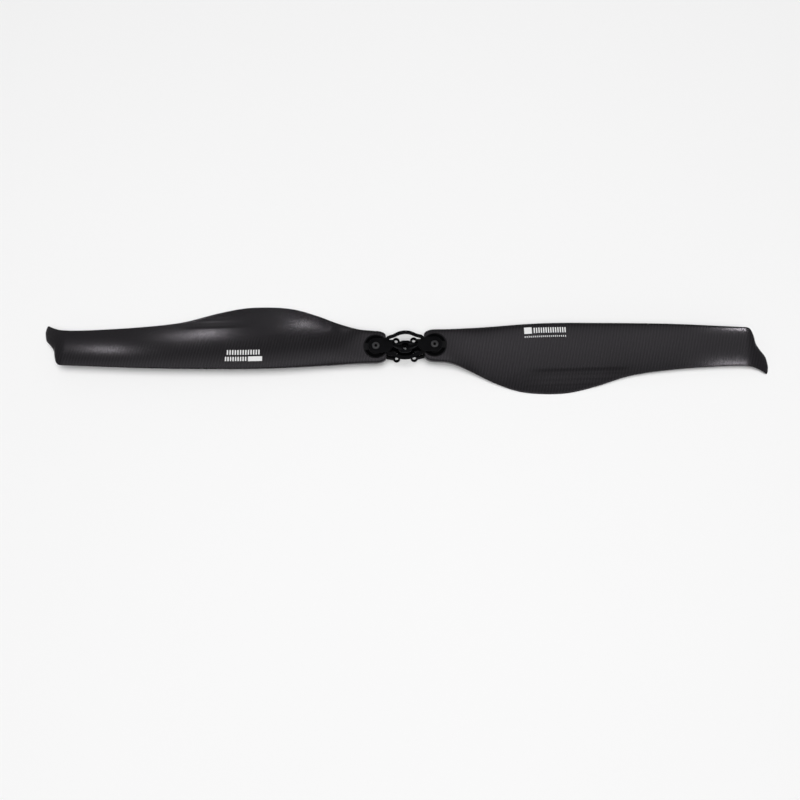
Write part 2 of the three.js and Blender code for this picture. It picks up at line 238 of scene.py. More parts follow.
# ---- materials -------------------------------------------------------------------------------------
class Shader:
    """A Principled material with short calls for the nodes that feed it."""

    def __init__(self, name, **values):
        self.material = bpy.data.materials.new(name)
        self.material.use_nodes = True
        self.tree = self.material.node_tree
        self.surface = self.tree.nodes["Principled BSDF"]
        self.set(**values)
        self.place = self.node("ShaderNodeTexCoord")

    def node(self, kind, inputs=None, **settings):
        """A new node with its inputs fed and its properties set."""
        made = self.tree.nodes.new(kind)
        for key, value in settings.items():
            setattr(made, key, value)
        for key, value in (inputs or {}).items():
            self.feed(made.inputs[key], value)
        return made

    def feed(self, socket, value):
        """Links a socket to the input, or sets its plain value."""
        if isinstance(value, bpy.types.NodeSocket):
            self.tree.links.new(value, socket)
        else:
            socket.default_value = value

    def math(self, operation, *values):
        """The result of a Math node."""
        made = self.node("ShaderNodeMath", operation=operation)
        for k, value in enumerate(values):
            self.feed(made.inputs[k], value)
        return made.outputs[0]

    def noise(self, size_mm, detail=2.0, roughness=0.5):
        """Noise whose features are about size_mm across, from 0 to 1."""
        scaled = self.node("ShaderNodeVectorMath", operation="MULTIPLY")
        self.feed(scaled.inputs[0], self.place.outputs["Object"])
        scaled.inputs[1].default_value = [1 / (size_mm * MM)] * 3
        grain = self.node("ShaderNodeTexNoise", {"Vector": scaled.outputs[0]})
        grain.inputs["Scale"].default_value = 1.0
        grain.inputs["Detail"].default_value = detail
        grain.inputs["Roughness"].default_value = roughness
        return grain.outputs["Fac"]

    def between(self, factor, low, high):
        """factor from 0 to 1 turned into a number from low to high."""
        made = self.node("ShaderNodeMapRange", {"Value": factor})
        made.inputs["To Min"].default_value = low
        made.inputs["To Max"].default_value = high
        return made.outputs["Result"]

    def blend(self, factor, low, high):
        """Colour between two colours or colour sockets."""
        made = self.node("ShaderNodeMix", data_type="RGBA")
        self.feed(made.inputs["Factor"], factor)
        for key, value in (("A", low), ("B", high)):
            socket = next(i for i in made.inputs if i.name == key and i.type == "RGBA")
            self.feed(socket, value if isinstance(value, bpy.types.NodeSocket) else (*value, 1))
        return next(o for o in made.outputs if o.type == "RGBA")

    def bump(self, height, depth_mm, strength=1.0, under=None):
        """Normal for a relief, on top of the one under it if that is given."""
        made = self.node("ShaderNodeBump", {"Height": height})
        made.inputs["Distance"].default_value = depth_mm * MM
        made.inputs["Strength"].default_value = strength
        if under is not None:
            self.feed(made.inputs["Normal"], under)
        return made.outputs["Normal"]

    def set(self, **sockets):
        """Feeds the surface's inputs, named in lower case with underscores."""
        for key, value in sockets.items():
            self.feed(self.surface.inputs[key.replace("_", " ").title().replace("Ior", "IOR")], value)


TOW_WIDTH = 0.9  # mm, one carbon tow
TOW_ANGLE = 123  # degrees from the span, so that the twill lines stand nearly across it


def carbon_material():
    """2/2 twill carbon cloth under a satin resin surface."""
    shader = Shader("carbon_twill", roughness=0.36, specular_ior_level=0.5)
    axes = shader.node("ShaderNodeSeparateXYZ", {"Vector": shader.place.outputs["Object"]})
    x, y = axes.outputs["X"], axes.outputs["Y"]
    c = math.cos(math.radians(TOW_ANGLE)) / (TOW_WIDTH * MM)
    s = math.sin(math.radians(TOW_ANGLE)) / (TOW_WIDTH * MM)
    u = shader.math("ADD", shader.math("MULTIPLY", x, c), shader.math("MULTIPLY", y, s))
    v = shader.math("SUBTRACT", shader.math("MULTIPLY", y, c), shader.math("MULTIPLY", x, s))
    cell = shader.math("ADD", shader.math("FLOOR", u), shader.math("FLOOR", v))
    step = shader.math("FLOORED_MODULO", cell, 4.0)
    warp = shader.math("LESS_THAN", step, 1.5)

    def crown(t):
        """Height across a tow, 1 in its middle and 0 at its sides."""
        off = shader.math("SUBTRACT", shader.math("MULTIPLY", shader.math("FRACT", t), 2.0), 1.0)
        return shader.math("SUBTRACT", 1.0, shader.math("MULTIPLY", off, off))

    over = shader.math("MULTIPLY", crown(v), warp)
    under = shader.math("MULTIPLY", crown(u), shader.math("SUBTRACT", 1.0, warp))
    height = shader.math("ADD", over, under)
    patches = shader.noise(24, detail=3)
    strands = shader.noise(0.35, detail=1)
    warp_colour = shader.blend(patches, (0.0130, 0.0123, 0.0137), (0.0164, 0.0154, 0.0172))
    weft_colour = shader.blend(patches, (0.0071, 0.0067, 0.0075), (0.0099, 0.0094, 0.0104))
    cloth = shader.blend(warp, weft_colour, warp_colour)
    # Painted shade: each tow is darker towards its sides, where it dips.
    shaded = shader.blend(shader.between(height, 0.35, 0.0), cloth, (0.003, 0.003, 0.0034))
    resin = shader.bump(shader.noise(2.2, detail=1), 0.004, 0.3)
    weave = shader.bump(height, 0.006, 0.5, under=resin)
    rough = shader.between(strands, 0.19, 0.25)
    shader.set(base_color=shaded, roughness=rough, normal=weave)
    shader.surface.inputs["Specular Tint"].default_value = (0.98, 0.92, 1, 1)
    return shader.material


CHAMFER_LEAN = 0.68  # upward part of the normal on a chamfer
NO_HIGHLIGHT_WIDTH = 1.15  # no painted highlight this close to the web's middle line, in mm
NO_HIGHLIGHT_REACH = 11.5  # out to this distance from the spin axis, in mm


def anodised_material():
    """Black anodised milled aluminium with a painted highlight: paler on the upward chamfers, where they
    catch the light.
    """
    shader = Shader("black_anodised", metallic=1.0)
    slope = shader.node("ShaderNodeSeparateXYZ", {"Vector": shader.place.outputs["Normal"]})
    lean = shader.math("ABSOLUTE", slope.outputs["Z"])
    off_chamfer = shader.math("ABSOLUTE", shader.math("SUBTRACT", lean, CHAMFER_LEAN))
    chamfer = shader.node("ShaderNodeMapRange", {"Value": off_chamfer})
    chamfer.inputs["From Min"].default_value = 0.3
    chamfer.inputs["From Max"].default_value = 0.12
    grain = shader.noise(0.12, detail=2)
    axes = shader.node("ShaderNodeSeparateXYZ", {"Vector": shader.place.outputs["Object"]})
    aside = shader.math("ABSOLUTE", axes.outputs["Y"])
    beside_web = shader.math("GREATER_THAN", aside, NO_HIGHLIGHT_WIDTH * MM)
    out = shader.math("ABSOLUTE", axes.outputs["X"])
    outboard = shader.math("GREATER_THAN", out, NO_HIGHLIGHT_REACH * MM)
    on_edge = shader.math("MAXIMUM", beside_web, outboard)
    patchy = shader.between(shader.noise(1.5), 0.5, 1.0)
    # Painted highlight on the upward chamfers beside the web and outboard, in patches.
    lit_chamfer = shader.math("MULTIPLY", chamfer.outputs["Result"], on_edge)
    chamfer_highlight = shader.math("MULTIPLY", lit_chamfer, patchy)
    base = shader.blend(shader.noise(6), (0.010, 0.010, 0.011), (0.015, 0.015, 0.0165))
    # The painted highlight blends the base towards a pale grey.
    shader.set(base_color=shader.blend(chamfer_highlight, base, (0.06, 0.06, 0.063)))
    shader.surface.inputs["Specular Tint"].default_value = (0.12, 0.12, 0.12, 1)
    shader.set(roughness=shader.between(grain, 0.34, 0.48))
    shader.set(normal=shader.bump(grain, 0.004, 0.5))
    return shader.material


CAP_GROOVE_TOP = CAP_SEAT + CAP_THICK - 0.15  # the caps are painted darker below this, as shade in their grooves


def nylon_material():
    """Black moulded nylon with a fine spark-eroded grain, and painted shade in the grooves of the caps."""
    shader = Shader("moulded_nylon", specular_ior_level=0.2)
    grain = shader.noise(0.25, detail=3, roughness=0.6)
    colour = shader.blend(grain, (0.0035, 0.0035, 0.004), (0.006, 0.006, 0.0066))
    axes = shader.node("ShaderNodeSeparateXYZ", {"Vector": shader.place.outputs["Object"]})
    height = shader.math("ABSOLUTE", shader.math("SUBTRACT", axes.outputs["Z"], BLADE_Z * MM))
    # Painted shade in the caps' grooves: darker and less glossy below the groove's top.
    painted_shade = shader.math("LESS_THAN", height, CAP_GROOVE_TOP * MM)
    shader.set(base_color=shader.blend(painted_shade, colour, (0.0015, 0.0015, 0.0017)))
    shader.set(specular_ior_level=shader.between(painted_shade, 0.2, 0.02))
    shader.set(roughness=shader.between(shader.noise(1.2), 0.45, 0.6))
    shader.set(normal=shader.bump(grain, 0.01, 0.5))
    return shader.material


TOOL_MARKS = 0.16  # mm from one turning mark to the next
SOCKET_REACH = 1.6  # the bolt is painted dark as shade inside this radius,
SOCKET_LIP = BOLT_BOX[1] - 0.2  # and from here down to the blade's level


def turned_metal_material(name, dark, light, rough):
    """Lathe-turned metal with concentric tool marks about each pivot, and painted shade inside the bolts'
    sockets.
    """
    shader = Shader(name, metallic=1.0)
    axes = shader.node("ShaderNodeSeparateXYZ", {"Vector": shader.place.outputs["Object"]})
    y, z = axes.outputs["Y"], axes.outputs["Z"]
    out = shader.math("SUBTRACT", shader.math("ABSOLUTE", axes.outputs["X"]), PIVOT_X * MM)
    squares = shader.math("MULTIPLY", out, out), shader.math("MULTIPLY", y, y)
    radius = shader.math("SQRT", shader.math("ADD", *squares))
    reach = shader.math("ADD", radius, z)
    marks = shader.math("SINE", shader.math("MULTIPLY", reach, 2 * math.pi / (TOOL_MARKS * MM)))
    stain = shader.noise(0.8, detail=3)
    # Painted shade inside the bolts' sockets: the colour goes near black there.
    inside = shader.math("LESS_THAN", radius, SOCKET_REACH * MM)
    in_socket = shader.math("MULTIPLY", inside, shader.math("GREATER_THAN", z, BLADE_Z * MM))
    painted_shade = shader.math("MULTIPLY", in_socket, shader.math("LESS_THAN", z, SOCKET_LIP * MM))
    shader.set(base_color=shader.blend(painted_shade, shader.blend(stain, dark, light), (0.004, 0.004, 0.004)))
    shader.set(roughness=shader.between(stain, rough, rough + 0.14))
    shader.set(normal=shader.bump(marks, 0.004, 0.4))
    return shader.material


def plastic_material(name, low, high, rough):
    """Smooth plastic with a faint mottle."""
    shader = Shader(name, specular_ior_level=0.5)
    mottle = shader.noise(0.6, detail=2)
    shader.set(base_color=shader.blend(mottle, low, high))
    shader.set(roughness=shader.between(mottle, rough, rough + 0.1))
    shader.set(normal=shader.bump(mottle, 0.006, 0.4))
    return shader.material


CARBON = carbon_material()
ANODISED = anodised_material()
NYLON = nylon_material()
STEEL = turned_metal_material("turned_steel", (0.09, 0.09, 0.095), (0.15, 0.15, 0.155), 0.3)
BRASS = turned_metal_material("turned_brass", (0.5, 0.35, 0.13), (0.62, 0.45, 0.19), 0.26)
WASHER = plastic_material("washer_plastic", (0.56, 0.54, 0.5), (0.66, 0.64, 0.59), 0.42)
INK = plastic_material("print_ink", (0.72, 0.72, 0.72), (0.84, 0.84, 0.84), 0.5)


# ---- blade -----------------------------------------------------------------------------------------
CHORD_POINTS = 84  # along each side of a section
PLY_BAND_TOP = -22  # the plies at the wide part of the blade start at this y,
PLY_BAND_BEND = (82, 22, 10)  # lower towards the root: from this s, within this length, by this much
PLY_BAND_END = 170  # and fade out here
PLY_BAND_PITCH = 4.2
PLY_BAND_DEPTH = 0.08
PLY_BANDS = 4
PLY_EDGE = 1.1  # width of the slope at a ply's end
ROOT_PAD_CENTRE = (34, -6)  # the skin's round end, inside which the surface lies a ply lower
ROOT_PAD_RADIUS = 21.5
ROOT_PAD_DEPTH = 0.03
ROOT_PAD_EDGE = 2.4
ROOT_PAD_END = 60
PLY_LINE_DEPTH = 0.3  # the first ply edge is a shallow groove with a long way up behind it
PLY_LINE_WIDTH = 3
PLY_LINE_RISE = 13
PLY_LINE_START = 74
FADE = 20  # length over which a relief fades in or out along the blade
EDGE_BAND = 1.2  # no relief closer than this to the blade's edges


def section(s):
    """Leading and trailing edge y, chord height and slope, thickness and airfoil share at s."""
    into_corner = max(0, ROOT_CORNER - ROOT_BACK - s)
    corner_loss = ROOT_CORNER - math.sqrt(ROOT_CORNER**2 - min(ROOT_CORNER, into_corner) ** 2)
    behind = math.sqrt(max(0, ROOT_RADIUS**2 - s**2)) - corner_loss
    lead = behind if s < 0 else along(PLANFORM, 1, s)
    trail = -behind if s < 0 else along(PLANFORM, 2, s)
    inside = max(0, s)
    height, slope, thickness = (along(SETTING, column, inside) for column in (1, 2, 3))
    airfoil = float(smoothstep((s - ROOT_FLAT_END) / (AIRFOIL_START - ROOT_FLAT_END)))
    height -= TIP_DROOP * max(0, (s - TIP_DROOP_START) / (SPAN - TIP_DROOP_START)) ** 2
    return lead, trail, height, slope, thickness, airfoil


def half_thickness(c, thickness, airfoil):
    """Half thickness at chord fraction c: a rounded slab at the root, a NACA airfoil further out."""
    slab = (1 - np.abs(2 * c - 1) ** 7) ** (1 / 3.5)
    foil = 10 * (0.2969 * np.sqrt(c) - 0.126 * c - 0.3516 * c**2 + 0.2843 * c**3 - 0.1015 * c**4)
    return thickness / 2 * np.maximum(EDGE_THICK / thickness, slab * (1 - airfoil) + foil * airfoil)


def ply_relief(s, y):
    """How far the upper surface lies below the plain section, where plies end."""
    bend_from, bend_length, bend = PLY_BAND_BEND
    depth = PLY_BAND_TOP - y - bend * np.maximum(0, (bend_from - s) / bend_length) ** 2
    bands = sum(smoothstep((depth - k * PLY_BAND_PITCH) / PLY_EDGE) for k in range(PLY_BANDS))
    risen = 1 - smoothstep((depth - PLY_LINE_WIDTH) / PLY_LINE_RISE)
    begun = smoothstep((s - PLY_LINE_START) / FADE)
    line = PLY_LINE_DEPTH * smoothstep(depth / PLY_LINE_WIDTH) * risen * begun
    away = np.hypot(np.minimum(0, s - ROOT_PAD_CENTRE[0]), y - ROOT_PAD_CENTRE[1])
    pad = smoothstep((ROOT_PAD_RADIUS - away) / ROOT_PAD_EDGE) * smoothstep((ROOT_PAD_END - s) / FADE)
    plies = (PLY_BAND_DEPTH * bands + line) * smoothstep((PLY_BAND_END - s) / FADE)
    return plies + ROOT_PAD_DEPTH * pad


def surface_z(s, y, side, shape=None):
    """Height of the upper (side 1) or lower (side -1) blade surface above the root's middle."""
    lead, trail, height, slope, thickness, airfoil = shape or section(s)
    c = np.clip((lead - y) / (lead - trail), 0, 1)
    camber = 4 * c * (1 - c) * CAMBER * (lead - trail) * airfoil
    z = height + slope * y + camber + side * half_thickness(c, thickness, airfoil)
    inner = smoothstep(np.minimum(lead - y, y - trail) / EDGE_BAND)
    return z - (ply_relief(s, y) * inner if side > 0 else 0)


def blade_stations():
    """Distances of the sections, close together at the root corners and along the tip."""
    corner = [-ROOT_BACK + ROOT_CORNER * (1 - math.cos(math.pi / 2 * k / 8)) for k in range(9)]
    root = list(np.arange(-6.2, 36, 0.8))
    middle = list(np.linspace(36, 172, 116))
    outer = list(np.linspace(172, 262, 52))[1:]
    tip = list(np.linspace(262, SPAN, 58))[1:]
    return corner + root + middle[1:] + outer + tip


RIM_DROP = 0.3  # the recess for a cap widens from this far below the root's face,
RIM_WIDER = 0.38  # by this much
RIM_RISE = 0.08
CUT_REACH = 4  # how far a cutting body stands out of the piece
THIN_AXIS = 0.01  # radius that stands for the axis of a turned body


def blade_shell(side):
    """Carbon blade with its round root, the hole for the bush and the recesses for the caps."""
    t = np.linspace(0, 1, CHORD_POINTS)
    fractions = 0.55 * (1 - np.cos(math.pi * t)) / 2 + 0.45 * t
    rings = []
    for s in blade_stations():
        shape = section(s)
        lead, trail = shape[0], shape[1]
        y = lead + (trail - lead) * fractions
        upper, lower = surface_z(s, y, 1, shape), surface_z(s, y, -1, shape)
        ring = list(zip([s] * len(y), y, upper)) + list(zip([s] * len(y), y[::-1], lower[::-1]))
        rings.append(ring)
    vertices, faces = rings_mesh(rings)
    shell = mesh_object(f"blade_shell_{side}", vertices, faces)
    smooth(shell)
    recess = CAP_RADIUS + FIT_GAP
    cuts = []
    for up in (1, -1):
        rim = ROOT_THICK / 2
        wide, high = recess + RIM_WIDER, rim + CUT_REACH
        profile = [
            (THIN_AXIS, CAP_SEAT), (recess, CAP_SEAT), (recess, rim - RIM_DROP),
            (wide, rim + RIM_RISE), (wide, high), (THIN_AXIS, high),
        ]
        cuts.append(turned("recess", [(r, up * z) for r, z in profile], 120))
    bore = BUSH_RADIUS + FIT_GAP
    cuts.append(turned("bore", [(THIN_AXIS, -9), (bore, -9), (bore, 9), (THIN_AXIS, 9)]))
    for cut in cuts:
        smooth(cut)
    boolean(shell, "DIFFERENCE", cuts)
    finish_piece(shell, f"{side}_blade", [f"blade_{side}"], CARBON, at_pivot(side, BLADE_Z))


# Printed marks: plain bars that stand for the maker's and size marks. Each bar is (s from, s to,
# distance from the leading edge to its near side, to its far side).
PRINTS = {
    "right": [(76.0, 82.4, 3.6, 9.2)]
    + [(84.0 + 2.0 * k, 85.0 + 2.0 * k, 4.2, 8.8) for k in range(14)]
    + [(76.2 + 1.7 * k, 76.9 + 1.7 * k, 11.2, 12.5) for k in range(21)],
    "left": [(95.4, 107.2, 6.4, 10.6)]
    + [(108.6 + 2.1 * k, 109.7 + 2.1 * k, 6.6, 10.4) for k in range(9)]
    + [(97.6 + 2.2 * k, 98.7 + 2.2 * k, 12.2, 16.6) for k in range(13)],
}
INK_THICK = 0.03
INK_SUNK = 0.01
INK_STEP = 0.6


def blade_print(side):
    """The printed bars, each a thin closed film that lies on the blade's upper surface."""
    vertices, faces = [], []
    for s0, s1, in0, in1 in PRINTS[side]:
        columns = np.linspace(s0, s1, max(2, round((s1 - s0) / INK_STEP) + 1))
        rows = np.linspace(in0, in1, max(2, round((in1 - in0) / INK_STEP) + 1))
        base = len(vertices)
        for lift in (-INK_SUNK, INK_THICK):
            for s in columns:
                shape = section(s)
                y = shape[0] - rows
                z = surface_z(s, y, 1, shape) + lift
                vertices += list(zip([s] * len(y), y, z))
        n, m = len(columns), len(rows)
        top = base + n * m

        def at(i, j, start):
            return start + i * m + j

        for i in range(n - 1):
            for j in range(m - 1):
                around = [(i, j), (i + 1, j), (i + 1, j + 1), (i, j + 1)]
                faces.append([at(*corner, top) for corner in around])
                faces.append([at(*corner, base) for corner in (around[0], around[3], around[2], around[1])])
        edge = [(i, 0) for i in range(n)] + [(n - 1, j) for j in range(1, m)]
        edge += [(i, m - 1) for i in range(n - 2, -1, -1)] + [(0, j) for j in range(m - 2, 0, -1)]
        for (i, j), (k, l) in zip(edge, edge[1:] + edge[:1]):
            faces.append((at(i, j, base), at(k, l, base), at(k, l, top), at(i, j, top)))
    marks = mesh_object(f"blade_print_{side}", vertices, faces)
    finish_piece(marks, f"{side}_blade", [], INK, at_pivot(side, BLADE_Z))


# ---- hub -------------------------------------------------------------------------------------------
EAR_INNER = 4
EAR_THICK = 1.7
SLOT_RADIUS = 14.7
HEAD_RADIUS = 3.2
HEAD_RECESS = 0.8
BOSS_TOP = 12
LUG_HEIGHT = 3.2
SCREW_HOLE_RADIUS = 1.6
RING_DROP = 0.3
WEB_TOP = 13.8
WEDGE_TOP = 5
BORE_RADIUS = 2.5
BORE_DEPTH = 4
THROUGH_RADIUS = 1.5
RECESS_RADIUS = 3.1
RECESS_FLOOR = 8.2

# The hub is milled from one billet. Seen from above it is made of round pads, (x, y, radius), joined in
# pairs. These are the pads of its right front quarter.
EAR = (PIVOT_X, 0, 6.4)
ARM = (17, 0, 6.2)
FAN = (14, 0, 2.6)
NECK = (10.8, 0, 1.6)
WEB = (7.6, 0, 2.1)
WEB_ROOT = (3, 0, 3.2)
LOWER_ARM = (15.5, 0, 5.2)
WEDGE = (10.5, 0, 4.4)
BOSS = (1.5, 0, 5.5)
LUG = (7.5, 7.6, 3)
RIB_OUT = (7.5, 7.6, 2.2)
RIB_IN = (2.6, 2.6, 2.2)
EDGE_RIB_OUT = (7.5, 7.6, 1.2)
EDGE_RIB_IN = (2.4, 4.6, 1.2)
STRUT_IN = (9, 7.4, 1.4)
STRUT_BEND = (15.2, 7, 1.4)
STRUT_OUT = (19, 4.8, 1.4)
STRUT_BEND_Z = (3.4, 6)
RING = (  # the ring frame's quarter, from the arm to the middle
    (16.2, 4.8, 1.3), (13.4, 7, 1.4), (9.6, 8.2, 1.4), (5.2, 10.2, 1.5), (2.4, 10.9, 1.5), (0, 11.1, 1.5),
)
RING_STEPS = 6  # straight bars between two places of the ring
PLAIN_EDGE = 0.4  # roundings of the upper edges
EAR_EDGE = 0.35
THIN_EDGE = 0.3
WEB_EDGE = 0.8
BOSS_EDGE = 1
FOOT_EDGE = 0.15  # and of the lower ones
EDGE_STEPS = 4  # facets round a rounded edge


def pad_points(pad, edge, foot):
    """Points of one round pad (x, y, radius, bottom z, top z) with rounded top and bottom edges."""
    x, y, radius, z0, z1 = pad
    sides = 72 if radius > 2.5 else 40
    outline = []
    for k in range(EDGE_STEPS + 1):
        turn = math.pi / 2 * k / EDGE_STEPS
        outline.append((radius - foot * (1 - math.sin(turn)), z0 + foot * (1 - math.cos(turn))))
        outline.append((radius - edge * (1 - math.cos(turn)), z1 - edge * (1 - math.sin(turn))))
    return [
        (x + r * math.cos(a), y + r * math.sin(a), z)
        for r, z in outline
        for a in (2 * math.pi * k / sides for k in range(sides))
    ]


def hull(points):
    """The convex hull of points in millimetres."""
    bm = bmesh.new()
    for point in points:
        bm.verts.new([c * MM for c in point])
    made = bmesh.ops.convex_hull(bm, input=bm.verts)
    loose = {v for key in ("geom_interior", "geom_unused") for v in made[key]
             if isinstance(v, bmesh.types.BMVert)}
    bmesh.ops.delete(bm, geom=list(loose), context="VERTS")
    mesh = bpy.data.meshes.new("hull")
    bm.to_mesh(mesh)
    bm.free()
    return link_object("hull", mesh)


def hub_link(a, b, edge=PLAIN_EDGE):
    """The hull of two round pads."""
    return hull(pad_points(a, edge, FOOT_EDGE) + pad_points(b, edge, FOOT_EDGE))


def ring_places():
    """The ring's quarter as a smooth curve through its places."""
    rows = [(k, *place) for k, place in enumerate(RING)]
    steps = np.linspace(0, len(RING) - 1, RING_STEPS * (len(RING) - 1) + 1)
    return [tuple(along(rows, column, s) for column in (1, 2, 3)) for s in steps]


def hub_milled():
    """Hub milled from one billet: forked arms, ring frame, webs, centre boss and screw lugs."""
    upper = (BLADE_Z + EAR_INNER, HUB_TOP)
    lower = (BLADE_Z - EAR_INNER - EAR_THICK, BLADE_Z - EAR_INNER)
    ring_level = (upper[0], HUB_TOP - RING_DROP)
    base = (0, LUG_HEIGHT)

    def pad(place, level, mx=1, my=1):
        """A pad between two levels, mirrored in x and y where those are -1."""
        return (mx * place[0], my * place[1], place[2], *level)

    links = []
    for mx in (1, -1):
        web = pad(WEB, (0, WEB_TOP), mx)
        links += [
            hub_link(pad(EAR, upper, mx), pad(ARM, upper, mx), EAR_EDGE),
            hub_link(pad(ARM, upper, mx), pad(FAN, upper, mx), EAR_EDGE),
            hub_link(pad(FAN, upper, mx), pad(NECK, upper, mx), EAR_EDGE),
            hub_link(pad(NECK, (BLADE_Z, HUB_TOP), mx), web, WEB_EDGE),
            hub_link(web, pad(WEB_ROOT, (0, BOSS_TOP), mx), WEB_EDGE),
            hub_link(pad(EAR, lower, mx), pad(LOWER_ARM, lower, mx)),
            hub_link(pad(LOWER_ARM, lower, mx), pad(WEDGE, (0, WEDGE_TOP), mx)),
        ]
    quarters = [(1, 1), (-1, 1), (-1, -1), (1, -1)]
    for quarter in quarters:
        ring = [pad(place, ring_level, *quarter) for place in ring_places()]
        links += [hub_link(a, b, THIN_EDGE) for a, b in zip(ring, ring[1:])]
        links += [
            hub_link(pad(a, base, *quarter), pad(b, base, *quarter), THIN_EDGE)
            for a, b in ((LUG, LUG), (RIB_IN, RIB_OUT), (EDGE_RIB_OUT, EDGE_RIB_IN))
        ]
        bend = pad(STRUT_BEND, STRUT_BEND_Z, *quarter)
        links += [
            hub_link(pad(STRUT_IN, base, *quarter), bend, THIN_EDGE),
            hub_link(bend, pad(STRUT_OUT, lower, *quarter), THIN_EDGE),
        ]
    hub = hub_link(pad(BOSS, (0, BOSS_TOP)), pad(BOSS, (0, BOSS_TOP), -1), BOSS_EDGE)
    boolean(hub, "UNION", links)

    above, below = HUB_TOP + 1, -1
    cuts = []
    for mx in (1, -1):
        cuts += [
            post(mx * PIVOT_X, 0, SLOT_RADIUS, BLADE_Z - EAR_INNER, BLADE_Z + EAR_INNER, 144),
            post(mx * PIVOT_X, 0, BOLT_RADIUS + FIT_GAP, below, above),
            post(mx * PIVOT_X, 0, HEAD_RADIUS + FIT_GAP, HUB_TOP - HEAD_RECESS, above),
        ]
    cuts += [
        post(mx * LUG[0], my * LUG[1], SCREW_HOLE_RADIUS, below, LUG_HEIGHT + 1) for mx, my in quarters
    ]
    cuts += [
        post(0, 0, BORE_RADIUS, below, BORE_DEPTH),
        post(0, 0, THROUGH_RADIUS, BORE_DEPTH - 1, BOSS_TOP),
        post(0, 0, RECESS_RADIUS, RECESS_FLOOR, BOSS_TOP + 1),
    ]
    for cut in cuts:
        boolean(hub, "DIFFERENCE", [cut])
    hub.name = "hub_milled"
    hub.data.name = "hub_milled"
    finish_piece(hub, "hub", ["hub_body"], ANODISED)


# ---- hardware at a pivot ---------------------------------------------------------------------------
CAP_FLOOR = CAP_SEAT + RUNNING_GAP
CAP_TOP = CAP_FLOOR + CAP_THICK
GROOVE_FLOOR = CAP_FLOOR + 0.12
RIM_TOP = CAP_TOP + 0.1
STEP_FOOT = 7.0  # radius where the groove meets the cap's raised middle
STEP_TOP = 6.7
BRIDGE_REACH = (6.4, 8.7)  # centres of the bridge's rounded corners, outboard of the pivot
BRIDGE_SIDE = 2.1
BRIDGE_CORNER = 0.8


def eased_ring(inner, outer, low, high, ease):
    """Profile of a plain ring with chamfered edges."""
    return [
        (inner, low + ease), (inner + ease, low), (outer - ease, low), (outer, low + ease),
        (outer, high - ease), (outer - ease, high), (inner + ease, high), (inner, high - ease),
    ]


def root_cap(side, up):
    """Moulded cap: a rim and a raised seat, with a deep groove between that a bridge interrupts."""
    inner = BUSH_RADIUS + FIT_GAP
    profile = [
        (inner, CAP_FLOOR), (CAP_RADIUS - 0.1, CAP_FLOOR), (CAP_RADIUS, CAP_FLOOR + 0.1),
        (CAP_RADIUS, RIM_TOP - 0.12), (CAP_RADIUS - 0.12, RIM_TOP), (CAP_RADIUS - 0.42, RIM_TOP),
        (CAP_RADIUS - 0.5, RIM_TOP - 0.1), (CAP_RADIUS - 0.6, GROOVE_FLOOR), (STEP_FOOT, GROOVE_FLOOR),
        (STEP_TOP + 0.15, CAP_TOP - 0.08), (STEP_TOP, CAP_TOP), (inner + 0.1, CAP_TOP),
        (inner, CAP_TOP - 0.1),
    ]
    level = "upper" if up > 0 else "lower"
    cap = turned(f"cap_moulded_{level}_{side}", [(r, up * z) for r, z in profile], 144)
    smooth(cap)
    low, high = sorted((up * (CAP_FLOOR + 0.05), up * (CAP_TOP - 0.03)))
    sides = (-BRIDGE_SIDE, BRIDGE_SIDE)
    corners = [(x, y, BRIDGE_CORNER, low, high) for x in BRIDGE_REACH for y in sides]
    bridge = hull([point for corner in corners for point in pad_points(corner, 0.1, 0.1)])
    boolean(cap, "UNION", [bridge])
    node = f"root_cap_{level}_{side}"
    finish_piece(cap, f"{side}_blade", [node], NYLON, at_pivot(side, BLADE_Z))


WASHER_RADIUS = 5.6
WASHER_EASE = 0.08
BUSH_EASE = 0.25
SPRING_RADIUS = 3.5
SPLIT_REACH = (1.6, 4.2)  # the body that cuts the split, from and to this radius
SPLIT_HALF = 0.2
SPLIT_LEAN = 0.8  # how far it leans for its height
SPLIT_TURN = math.radians(-60)


def thrust_washer(side, up):
    """Low-friction washer between the ear and the cap, with eased edges."""
    low, high = CAP_TOP + RUNNING_GAP, EAR_INNER - RUNNING_GAP
    profile = eased_ring(BOLT_RADIUS + FIT_GAP, WASHER_RADIUS, low, high, WASHER_EASE)
    level = "upper" if up > 0 else "lower"
    washer = turned(f"washer_{level}_{side}", [(r, up * z) for r, z in profile])
    node = f"thrust_washer_{level}_{side}"
    finish_piece(washer, "hub", [node], WASHER, at_pivot(side, BLADE_Z))


def blade_bush(side):
    """Brass bush with chamfered ends."""
    bush = turned(f"bush_{side}", eased_ring(BOLT_RADIUS + FIT_GAP, BUSH_RADIUS, *BUSH_BOX, BUSH_EASE))
    finish_piece(bush, f"{side}_blade", [f"blade_bush_{side}"], BRASS, at_pivot(side))


def spring_washer(side):
    """Split spring washer."""
    low, high = SPRING_BOX
    profile = eased_ring(BOLT_RADIUS + FIT_GAP, SPRING_RADIUS, low, high, WASHER_EASE)
    washer = turned(f"spring_{side}", profile)
    smooth(washer)
    near, far = SPLIT_REACH
    lean = SPLIT_LEAN * (high - low)
    split = [
        [(x, offset + SPLIT_HALF * edge, z) for x, edge in ((near, -1), (far, -1), (far, 1), (near, 1))]
        for z, offset in ((low - 0.2, -lean), (high + 0.2, lean))
    ]
    boolean(washer, "DIFFERENCE", [mesh_object("split", *rings_mesh(split))])
    turn = at_pivot(side) @ Matrix.Rotation(SPLIT_TURN, 4, "Z")
    finish_piece(washer, "hub", [f"spring_washer_{side}"], STEEL, turn)


THREAD_PITCH = 0.7
THREAD_DEPTH = 0.3
THREAD_END = 6.5  # height of the thread's upper end
HEAD_HEIGHT = 0.9
SOCKET_ACROSS = 2.5
SOCKET_DEPTH = 1.7


